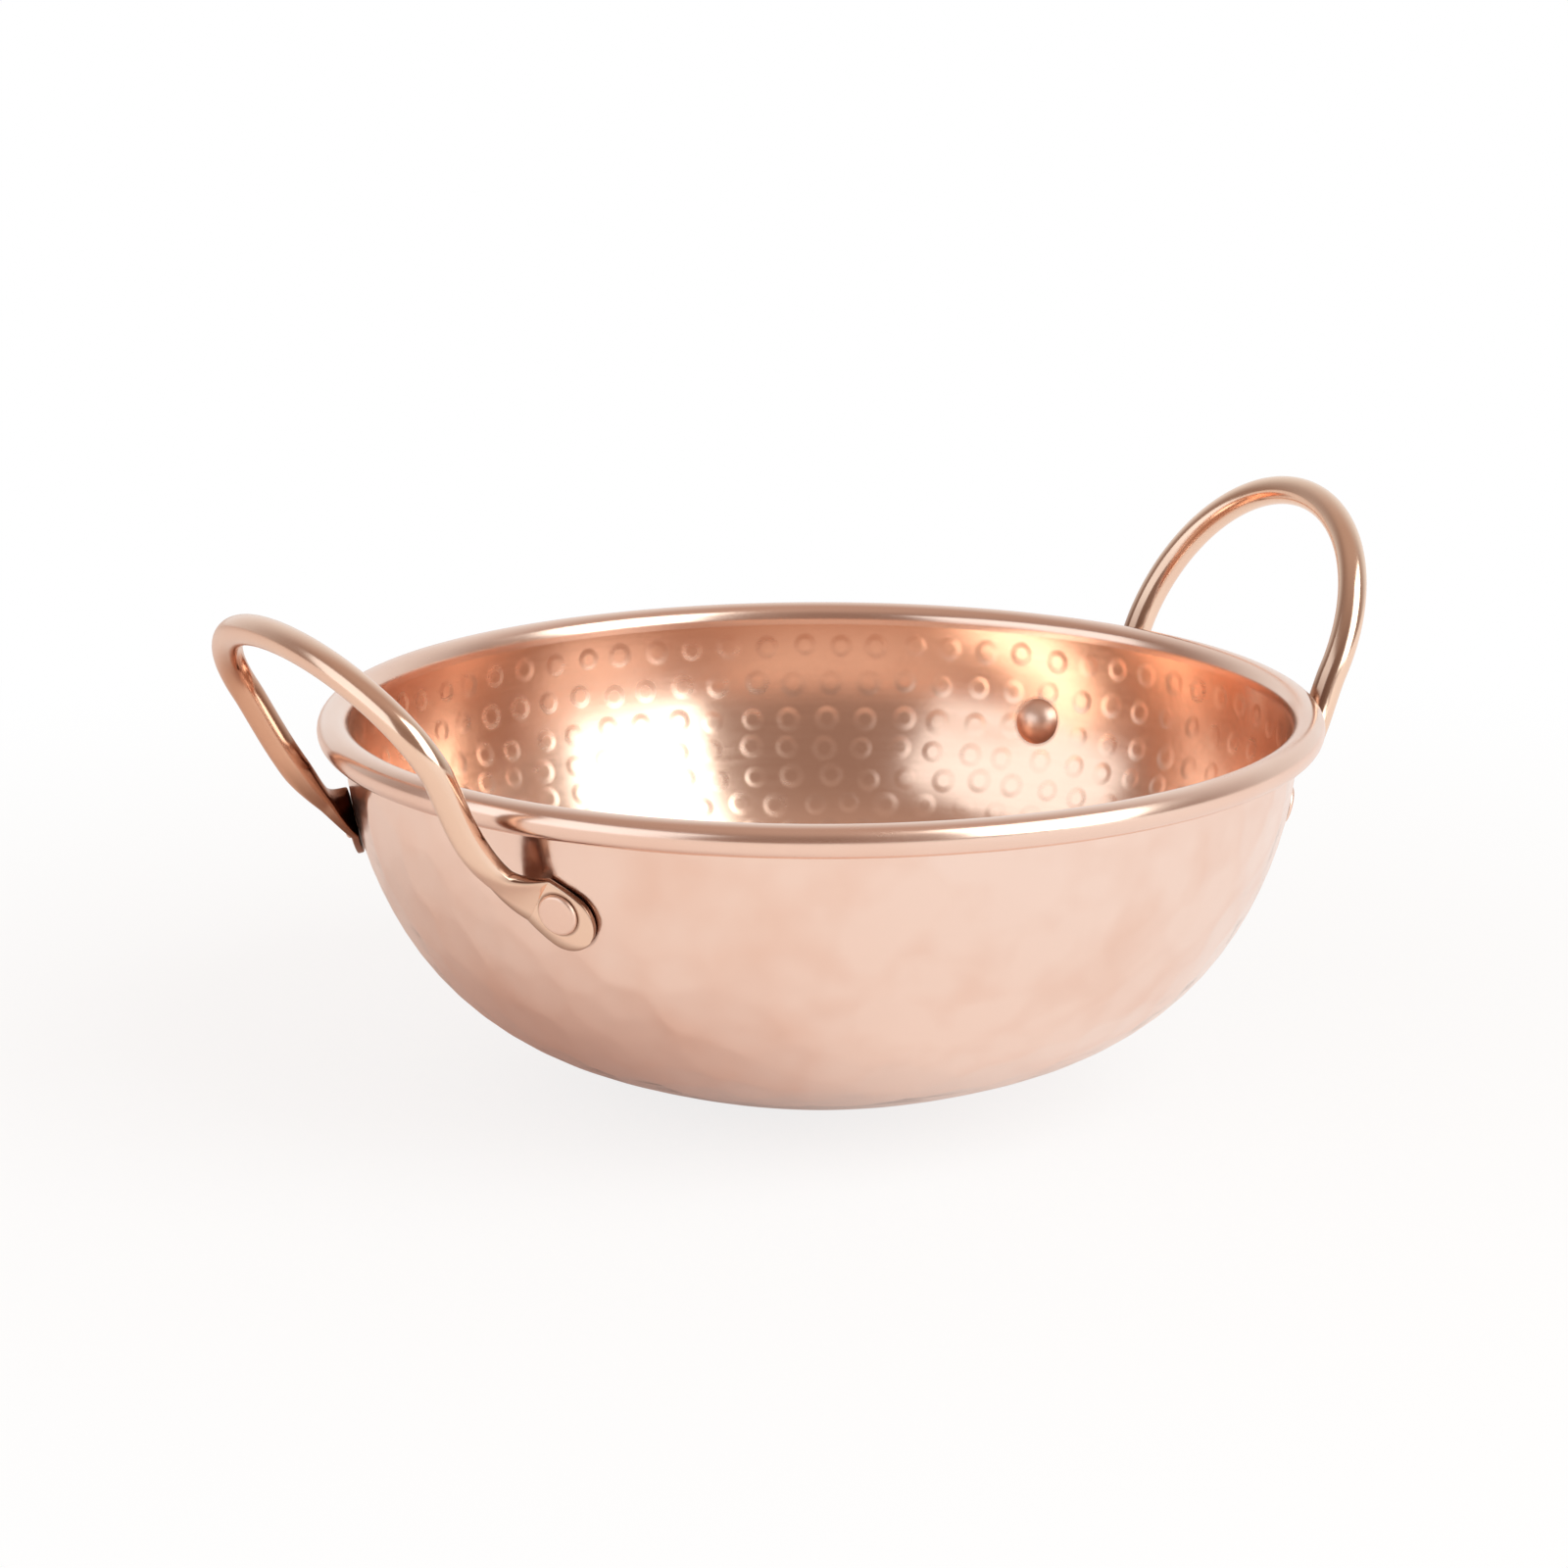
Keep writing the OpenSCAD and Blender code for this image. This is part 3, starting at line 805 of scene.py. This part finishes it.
    def dome(self, graph, x, y, z):
        """Painted shade round the rivet's domed head inside."""
        ring = self.round_head(x, y, z, self.form.handle.dome_d, self.DOME_RING)
        return ring * self.ROUND_DOME


def seats(form, scene):
    """The right and the left handle's seats."""
    return Seat(form, scene.pot_right_loop), Seat(form, scene.pot_left_loop)


class POT_OT_bowl(Operator):
    """Raises the bowl from sheet, rolls its rim and hammers it all over"""
    bl_idname = "pot.bowl"
    bl_label = "Bowl"

    def execute(self, context):
        scene, form, metals = setup(context)
        bowl, hammer = scene.pot_bowl, scene.pot_hammer
        outer = form.face(0, bowl.outer_step)
        tube = form.roll(form.bead_in_r, bowl.tube_steps)
        bead = form.roll(form.bead_r, bowl.bead_steps)[::-1]
        inner = form.face(bowl.sheet_t, bowl.floor_step, bowl.wall_step)[::-1]
        line = outer + tube + bead + inner
        piece = spun("hammered_bowl", line, bowl.segments)

        # Where on the turned line each point of the mesh lies
        points = coords(piece)
        flat = np.array(line)
        spot = np.stack([np.hypot(points[:, 0], points[:, 1]), points[:, 2]], axis=1)
        where = np.empty(len(spot), int)
        at_once = 20000
        for start in range(0, len(spot), at_once):
            gaps = spot[start:start + at_once, None] - flat[None]
            where[start:start + at_once] = np.argmin((gaps ** 2).sum(axis=2), axis=1)
        on_inside = where >= len(line) - len(inner)

        dents = dent_rows(inner, hammer.first_row - form.bead_r, hammer)
        press(piece, dents, hammer.dent_depth, np.nonzero(on_inside)[0], hammer.pressed_flat)

        oxide = Oxide(form, *seats(form, scene))
        dress(piece,
              metals.copper("planished_copper", rough=0.2, warmth=0.35, polish=0.003 * MM,
                            grain=metals.turned_grain, tone=scene.pot_finish.outer_copper,
                            relief=metals.facets, oxide=oxide.wall),
              metals.copper("bead_copper", rough=0.24, warmth=0.4, polish=0.002 * MM,
                            grain=metals.turned_grain, oxide=oxide.wall),
              metals.copper("dented_copper", rough=0.2, warmth=0.4, polish=0.002 * MM,
                            grain=metals.turned_grain, tone=scene.pot_finish.inner_copper,
                            relief=metals.dents, oxide=oxide.dome))
        part = np.where(where < len(outer), OUTSIDE,
                        np.where(on_inside, INSIDE, BEAD))
        starts = np.empty(len(piece.data.polygons), int)
        piece.data.polygons.foreach_get("loop_start", starts)
        part = part[corner_points(piece)[starts]]
        piece.data.polygons.foreach_set("material_index", part.astype(np.int32))
        note_marks(piece, dents, part == INSIDE, "dent")
        smooth(piece, bowl.crease)
        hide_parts("bowl")
        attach(piece, "root")
        return {"FINISHED"}


class POT_OT_rim_wire(Operator):
    """Gives the wire in the rim its finish"""
    bl_idname = "pot.rim_wire"
    bl_label = "Rim wire"

    def execute(self, context):
        _, _, metals = setup(context)
        dress(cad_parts["rim_wire"], metals.steel("wire_steel"))
        return {"FINISHED"}


def bezier(a, b, c, d, t):
    """The point at t of the curve through a and d, pulled by b and c."""
    return (1 - t) ** 3 * a + 3 * (1 - t) ** 2 * t * b + 3 * (1 - t) * t ** 2 * c + t ** 3 * d


def half_handle(form, seat, loop):
    """Stations from the tip of a tab to the loop's top: (point, outward, width, thickness,
    flatness)."""
    h = form.handle
    down = Vector((-math.sin(loop.lean), 0, -math.cos(loop.lean)))
    out = Vector((math.cos(loop.lean), 0, -math.sin(loop.lean)))
    top = Vector((form.bowl.rim_d / 2 + loop.reach, 0, form.bowl.pot_h + loop.rise))
    shoulder = top + loop.depth * down + Vector((0, loop.width / 2, 0))
    lift = seat.point(h.tab_lift)
    strap = (math.cos(h.tab_kick) * seat.ahead(h.tab_lift)
             + math.sin(h.tab_kick) * seat.outward(h.tab_lift))
    stations = []
    for i in range(h.end_steps):
        q = h.tip_turn + (math.pi / 2 - h.tip_turn) * i / h.end_steps
        stations.append((seat.point(seat.tab_from - h.tab_w / 2 * math.cos(q)), seat.out,
                         h.tab_w * math.sin(q),
                         h.tab_t * (h.tip_t_share + (1 - h.tip_t_share) * math.sin(q)), 1))
    for i in range(h.tab_steps):
        s = seat.tab_from + (h.tab_lift - seat.tab_from) * i / h.tab_steps
        stations.append((seat.point(s), seat.out, seat.width(s), h.tab_t, 1))
    for i in range(h.leg_steps):
        t = i / h.leg_steps
        at = bezier(lift, lift + h.strap_pull * strap, shoulder + h.leg_pull * down, shoulder, t)
        flat = 1 - eased(t / h.round_leg_share)
        stations.append((at, ((1 - t) * seat.out + t * out).normalized(),
                         seat.width(h.tab_lift + (at - lift).length),
                         h.rod_d + (h.tab_t - h.rod_d) * flat, flat))
    for i in range(h.loop_steps + 1):
        q = math.pi / 2 * (1 - i / h.loop_steps)
        stations.append((top + loop.depth * (1 - math.cos(q)) * down
                         + Vector((0, loop.width / 2 * math.sin(q), 0)), out,
                         h.rod_d, h.rod_d, 0))
    return stations


def mirrored(v):
    """The vector on the other side of the handle's middle plane."""
    return Vector((v.x, -v.y, v.z))


def swept(name, rings):
    """A closed bar through rings of points: a grid wrapped round them and closed at its ends."""
    sides = len(rings[0])
    piece = start_piece(name, bpy.ops.mesh.primitive_grid_add,
                        x_subdivisions=sides, y_subdivisions=len(rings) - 1, size=1)
    # The grid's columns run round the bar, and the last one meets the first
    flat = [p for ring in rings for p in (*ring, ring[0])]
    piece.data.vertices.foreach_set("co", np.array(flat).ravel())
    piece.data.update()
    bpy.ops.object.mode_set(mode="EDIT")
    bpy.ops.mesh.select_mode(type="VERT")
    bpy.ops.mesh.select_all(action="SELECT")
    bpy.ops.mesh.remove_doubles(threshold=FINE_MERGE)
    bpy.ops.mesh.select_all(action="DESELECT")
    bpy.ops.mesh.select_non_manifold()
    bpy.ops.mesh.fill_holes(sides=0)
    bpy.ops.mesh.select_all(action="SELECT")
    bpy.ops.mesh.normals_make_consistent(inside=False)
    bpy.ops.object.mode_set(mode="OBJECT")
    return piece


def handle(name, form, seat, loop, turned):
    """One forged loop handle with a tab at each end. Its mesh notes for each point its place in
    the bar's section, how far along the bar it is, and how flat the bar is there."""
    h = form.handle
    half = half_handle(form, seat, loop)
    stations = half + [(mirrored(s[0]), mirrored(s[1]), *s[2:]) for s in half[-2::-1]]
    rings, notes = [], []
    run = 0.0
    for i, (at, outward, width, thick, flat) in enumerate(stations):
        before, after = stations[max(i - 1, 0)][0], stations[min(i + 1, len(stations) - 1)][0]
        along = (after - before).normalized()
        side = along.cross(outward).normalized()
        face = side.cross(along)
        run += (at - before).length
        # The section is a circle on the rod, and nearly a rectangle on the tab
        e = 1 - (1 - h.tab_oval_share) * flat
        ring = []
        for k in range(h.ring_sides):
            q = 2 * math.pi * (k + 0.5) / h.ring_sides
            u, v = (math.copysign(abs(w) ** e, w) for w in (math.cos(q), math.sin(q)))
            ring.append(tuple(at + width / 2 * u * side + thick / 2 * v * face))
            notes.append((ring[-1], (u, v, run), flat))
        rings.append(ring)
    piece = swept(name, rings)
    note_bar(piece, notes)
    if turned:
        only(piece)
        piece.rotation_euler.z = math.pi
        bpy.ops.object.transform_apply(location=True, rotation=True, scale=True)
    return piece


def note_bar(piece, notes):
    """Writes the notes on the bar's section into the mesh, each at the point that it is of."""
    tree = tree_of([note[0] for note in notes])
    found = [notes[tree.find(vertex.co)[1]] for vertex in piece.data.vertices]
    bar = piece.data.attributes.new("bar", "FLOAT_VECTOR", "POINT")
    bar.data.foreach_set("vector", np.array([note[1] for note in found]).ravel())
    flat = piece.data.attributes.new("flat", "FLOAT", "POINT")
    flat.data.foreach_set("value", [float(note[2]) for note in found])


class POT_OT_handles(Operator):
    """Forges the two loop handles"""
    bl_idname = "pot.handles"
    bl_label = "Handles"

    def execute(self, context):
        scene, form, metals = setup(context)
        right, left = seats(form, scene)
        oxide = Oxide(form, right, left)
        finish = metals.copper("forged_copper", rough=0.19, warmth=0.7, polish=0.0008 * MM,
                               grain=metals.drawn_grain, tone=scene.pot_finish.forged,
                               oxide=oxide.bar, fired=oxide.fired)
        for name, node, seat, loop, turned in (
                ("forged_handle_right", "handle_right", right, scene.pot_right_loop, False),
                ("forged_handle_left", "handle_left", left, scene.pot_left_loop, True)):
            piece = handle(name, form, seat, loop, turned)
            dress(piece, finish)
            smooth(piece, form.handle.crease)
            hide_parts(node)
            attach(piece, "root")
        return {"FINISHED"}


class POT_OT_rivets(Operator):
    """Turns one rivet and sets a copy of it at each end of each handle"""
    bl_idname = "pot.rivets"
    bl_label = "Rivets"

    def execute(self, context):
        scene, form, metals = setup(context)
        h = form.handle
        inner_wall = form.wall_r - form.bowl.sheet_t
        dome_half_d = h.dome_d / 2
        hollow = inner_wall - math.sqrt(inner_wall ** 2 - dome_half_d ** 2) + h.seat_gap
        dome_z = -form.bowl.sheet_t - hollow
        head_z = h.tab_t + 2 * h.seat_gap
        dome_r = (dome_half_d ** 2 + h.dome_h ** 2) / (2 * h.dome_h)
        dome_turn = math.asin(dome_half_d / dome_r)
        head_r, round_r = h.flat_head_d / 2, h.flat_head_t * h.head_round_share
        edge_z = head_z + h.flat_head_t * (1 - h.head_crown_share) - round_r
        flat_r = head_r - round_r
        # From the middle of the domed head, along the shank, to the middle of the flat head
        line = [(dome_r * math.sin(q), dome_z - h.dome_h + dome_r * (1 - math.cos(q)))
                for q in np.linspace(0, dome_turn, h.dome_steps + 1)]
        line += [(h.shank_d / 2, dome_z), (h.shank_d / 2, head_z), (head_r, head_z)]
        line += [(flat_r + round_r * math.cos(q), edge_z + round_r * math.sin(q))
                 for q in np.linspace(0, math.pi / 2, h.edge_steps + 1)]
        line += [(flat_r * t, head_z + h.flat_head_t * (1 - h.head_crown_share * t * t))
                 for t in (i / h.crown_steps for i in reversed(range(h.crown_steps)))]
        first = spun("rivet", line, h.rivet_sides)
        smooth(first, h.crease)
        dress(first, metals.copper("rivet_copper", rough=0.42, warmth=0.5, polish=0.004 * MM,
                                   grain=metals.even_grain))
        right, left = seats(form, scene)
        for node, seat, side, turn in (("rivet_right_back", right, 1, 0),
                                       ("rivet_right_front", right, -1, 0),
                                       ("rivet_left_front", left, 1, math.pi),
                                       ("rivet_left_back", left, -1, math.pi)):
            only(first)
            bpy.ops.object.duplicate(linked=False)
            piece = context.object
            piece.name = piece.data.name = "set_" + node
            piece.matrix_world = seat.place(side, turn)
            bpy.ops.object.transform_apply(location=True, rotation=True, scale=True)
            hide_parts(node)
            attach(piece, "root")
        only(first)
        bpy.ops.object.delete()
        return {"FINISHED"}


class POT_OT_stage(Operator):
    """Sets the floor, the lights, the world and the camera"""
    bl_idname = "pot.stage"
    bl_label = "Stage"
    # Each pair is where a mask starts and ends
    # The floor's painted shadow at the pot's left shows only in reflections
    SHADE_ROUND, SHADE_LEFT, SHADE = (60 * MM, 130 * MM), (-40 * MM, 60 * MM), 0.5
    FLOOR_ROUGH, FLOOR_SPECULAR = 0.9, 0.1
    # The floor's painted light on the right shows only in reflections
    PALE_ROUND, PALE_RIGHT = (120 * MM, 420 * MM), (-100 * MM, 200 * MM)
    SEEN_WHITE, MIRRORED_WHITE = 0.8, 0.8
    CEILING_FROM, BACKDROP_FROM, BACKDROP_RIGHT = (0.5, 1), (0.1, 1.05), 0.25

    def lamp(self, name, place, size, watts, tint, roll=0.0):
        """An area lamp that faces the pot, turned about its own axis by roll."""
        bpy.ops.object.select_all(action="DESELECT")
        bpy.ops.object.light_add(type="AREA", location=place)
        lamp = bpy.context.object
        lamp.name = lamp.data.name = name
        lamp.data.shape = "RECTANGLE"
        lamp.data.size, lamp.data.size_y = size
        lamp.data.energy = watts
        lamp.data.color = tint
        aim = Vector((0, 0, bpy.context.scene.pot_stage.lamp_aim)) - Vector(place)
        facing = aim.to_track_quat("-Z", "Y") @ Quaternion((0, 0, 1), roll)
        lamp.rotation_euler = facing.to_euler()
        return lamp

    def execute(self, context):
        scene = context.scene
        stage, finish = scene.pot_stage, scene.pot_finish
        a, e = stage.camera_turn, stage.camera_rise
        floor = start_piece("floor", bpy.ops.mesh.primitive_plane_add, size=stage.floor_size)
        material, graph = new_material("floor")
        white = graph.node("ShaderNodeEmission", None, {"Color": (1, 1, 1, 1), "Strength": 1.0})
        camera, mirror = graph.ray("Camera"), graph.ray("Glossy")
        x, y, z = graph.axes(graph.place())
        radius = (x * x + y * y).math("SQRT")
        across = x * math.cos(a) + y * math.sin(a)
        # Painted shadow: in reflections the floor at the pot's left is darker
        close = (mirror * (1 - radius.within(*self.SHADE_ROUND))
                 * (across * -1).within(*self.SHADE_LEFT) * self.SHADE)
        ground = graph.node("ShaderNodeBsdfPrincipled", None,
                            {"Base Color": graph.mix(close, opaque(finish.floor),
                                                     opaque(finish.floor_close)),
                             "Roughness": self.FLOOR_ROUGH,
                             "Specular IOR Level": self.FLOOR_SPECULAR})
        away = radius.within(*self.PALE_ROUND)
        # Painted light: in reflections the floor on the right glows white, while for the camera it
        # is a white background
        right = across.within(*self.PALE_RIGHT)
        share_white = (camera * (self.SEEN_WHITE + away * (1 - self.SEEN_WHITE))
                       + mirror * (right * self.MIRRORED_WHITE))
        both = graph.node("ShaderNodeMixShader", None,
                          {0: share_white, 1: ground.outputs[0], 2: white.outputs[0]})
        graph.node("ShaderNodeOutputMaterial", None, {"Surface": both.outputs[0]})
        dress(floor, material)

        back = Vector((math.sin(a) * math.cos(e), -math.cos(a) * math.cos(e), math.sin(e)))
        target = Vector((0, 0, stage.camera_aim))

        def around(turn, rise):
            """A lamp's place, turned from the camera's side."""
            t = a + turn
            return target + stage.lamp_away * Vector((
                math.sin(t) * math.cos(rise), -math.cos(t) * math.cos(rise), math.sin(rise)))

        self.lamp("key_softbox", around(stage.key_turn, stage.key_rise),
                  (stage.key_w, stage.key_h), stage.key_power, finish.key_light, stage.key_roll)
        self.lamp("fill_softbox", around(stage.fill_turn, stage.fill_rise),
                  (stage.fill_w, stage.fill_h), stage.fill_power, finish.fill_light)
        world = scene.world or bpy.data.worlds.new("studio")
        scene.world = world
        world.use_nodes = True
        graph = Graph(world.node_tree)
        camera = graph.ray("Camera")
        mirror = graph.ray("Glossy").math("MAXIMUM", graph.ray("Transmission"))
        x, y, z = graph.axes(graph.node("ShaderNodeTexCoord").outputs["Generated"])
        right = (x * math.cos(a) + y * math.sin(a)).math("MAXIMUM", 0)
        behind = x * -math.sin(a) + y * math.cos(a) + right * self.BACKDROP_RIGHT
        dim = graph.mix(z.within(*self.CEILING_FROM), opaque(finish.room),
                        opaque(finish.ceiling))
        seen = graph.mix(behind.within(*self.BACKDROP_FROM), dim, opaque(finish.backdrop))
        unseen = graph.mix(mirror, opaque(finish.room_light), seen)
        sky = graph.node("ShaderNodeBackground", None,
                         {"Color": graph.mix(camera, unseen, (1, 1, 1, 1)), "Strength": 1.0})
        graph.node("ShaderNodeOutputWorld", None, {"Surface": sky.outputs[0]})

        bpy.ops.object.select_all(action="DESELECT")
        bpy.ops.object.camera_add(location=target + stage.camera_away * back,
                                  rotation=(-back).to_track_quat("-Z", "Y").to_euler())
        eye = context.object
        eye.name = eye.data.name = "camera"
        eye.data.sensor_width, eye.data.lens = stage.sensor_w, stage.lens
        eye.data.shift_x, eye.data.shift_y = stage.shift_x, stage.shift_y
        eye.data.clip_start = 10 * MM
        scene.camera = eye
        scene.view_settings.view_transform = "Standard"
        return {"FINISHED"}


class POT_PT_panel(Panel):
    """Lists the pot's steps and sizes"""
    bl_idname = "POT_PT_panel"
    bl_label = "Copper Pot"
    bl_space_type = "VIEW_3D"
    bl_region_type = "UI"
    bl_category = "Copper Pot"

    def draw(self, context):
        scene = context.scene
        for step in STEPS:
            self.layout.operator(step.bl_idname)
        for group in (scene.pot_bowl, scene.pot_hammer, scene.pot_handle,
                      scene.pot_right_loop, scene.pot_left_loop, scene.pot_finish,
                      scene.pot_stage):
            box = self.layout.box()
            for name in group.__annotations__:
                box.prop(group, name)


STEPS = (POT_OT_bowl, POT_OT_rim_wire, POT_OT_handles, POT_OT_rivets, POT_OT_stage)
GROUPS = {"pot_bowl": BowlSizes, "pot_hammer": HammerSizes, "pot_handle": HandleSizes,
          "pot_right_loop": LoopSizes, "pot_left_loop": LoopSizes, "pot_finish": Finish,
          "pot_stage": StageSizes}
CLASSES = (BowlSizes, HammerSizes, HandleSizes, LoopSizes, Finish, StageSizes, *STEPS,
           POT_PT_panel)


def register():
    """Adds the classes and the pot's sizes to Blender."""
    for cls in CLASSES:
        bpy.utils.register_class(cls)
    for name, group in GROUPS.items():
        setattr(bpy.types.Scene, name, PointerProperty(type=group))


def unregister():
    """Takes the sizes and the classes out again."""
    for name in GROUPS:
        delattr(bpy.types.Scene, name)
    for cls in reversed(CLASSES):
        bpy.utils.unregister_class(cls)


def main():
    """Registers the classes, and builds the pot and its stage."""
    register()
    # The left loop is wider, lower and leans more than the right one
    left = bpy.context.scene.pot_left_loop
    left.rivet_drop = 20.8 * MM
    left.reach, left.rise, left.lean = 19.6 * MM, 27.4 * MM, math.radians(32.5)
    left.width, left.depth = 77 * MM, 22.2 * MM
    bpy.ops.pot.bowl()
    bpy.ops.pot.rim_wire()
    bpy.ops.pot.handles()
    bpy.ops.pot.rivets()
    bpy.ops.pot.stage()


if __name__ == "__main__":
    main()
